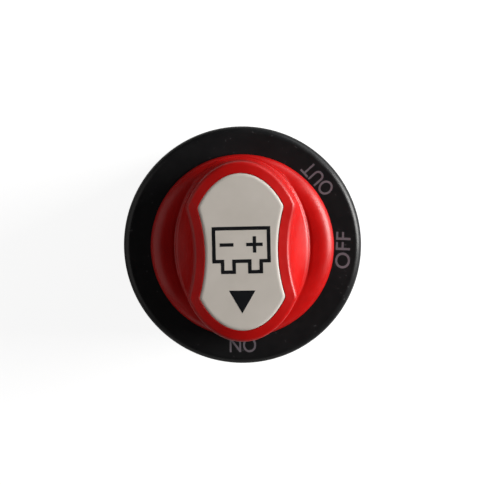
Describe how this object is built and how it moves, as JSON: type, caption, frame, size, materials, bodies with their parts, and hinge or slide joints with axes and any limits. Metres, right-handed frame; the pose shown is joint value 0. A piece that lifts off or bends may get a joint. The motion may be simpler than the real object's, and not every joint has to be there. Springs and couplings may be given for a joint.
{
  "type": "battery switch",
  "caption": "Round surface-mount battery isolator: an oval lift-out key knob on a black bezel and body that hide a contact bar and stud terminals.",
  "frame": {"origin": "centre of the flat back face that lies on the panel", "axes": "+Z along the knob's axis, out of the panel; the terminal studs lie along X, battery side at -X; the knob's arrow points along -Y at ON"},
  "size_m": [0.069, 0.069, 0.0746],
  "materials": {
    "black_plastic": "satin black moulded plastic with a fine grain",
    "red_plastic": "semi-gloss red moulded plastic",
    "ivory_plastic": "satin warm white moulded plastic with black print",
    "natural_nylon": "unpainted nylon",
    "shaft_nylon": "black glass-filled nylon",
    "copper": "bright drawn copper",
    "tinned_copper": "tin plate over copper",
    "silver_contact": "silver alloy contact tip",
    "zinc_steel": "zinc-plated steel",
    "spring_steel": "bright spring steel",
    "black_rubber": "black nitrile rubber"
  },
  "bodies": {
    "base": {"back_cover": "black_plastic", "back_cover_screw_1": "zinc_steel", "back_cover_screw_2": "zinc_steel", "housing": "black_plastic", "cover_gasket": "black_rubber", "top_cover": "black_plastic", "cover_screw_1": "zinc_steel", "cover_screw_2": "zinc_steel", "cover_screw_3": "zinc_steel", "cover_screw_4": "zinc_steel", "bezel_ring": "black_plastic", "stud_battery": "tinned_copper", "stud_load": "tinned_copper", "flat_washer_battery": "tinned_copper", "flat_washer_load": "tinned_copper", "lock_washer_battery": "spring_steel", "lock_washer_load": "spring_steel", "nut_battery": "tinned_copper", "nut_load": "tinned_copper", "fixed_contact_battery": "silver_contact", "fixed_contact_load": "silver_contact", "entry_blank_front": "black_plastic", "entry_blank_rear": "black_plastic", "detent_spring_front": "spring_steel", "detent_spring_rear": "spring_steel", "retaining_clip": "spring_steel"},
    "rotor": {"rotor": "natural_nylon", "contact_bridge": "copper", "thrust_washer": "ivory_plastic", "contact_spring_1": "spring_steel", "contact_spring_2": "spring_steel", "moving_contact_1": "silver_contact", "moving_contact_2": "silver_contact"},
    "knob": {"knob": "red_plastic", "label_plate": "ivory_plastic", "knob_shaft": "shaft_nylon", "shaft_o_ring": "black_rubber", "shaft_screw": "zinc_steel"}
  },
  "joints": [
    {"name": "knob_turn", "type": "hinge", "parent": "base", "child": "rotor", "pos_m": [0, 0, 0], "axis": [0, 0, 1], "range_deg": [0, 135], "deforming": ["detent_spring_front", "detent_spring_rear"]},
    {"name": "knob_lift", "type": "slide", "parent": "rotor", "child": "knob", "axis": [0, 0, 1], "range_m": [0, 0.02], "deforming": ["retaining_clip"]}
  ]
}
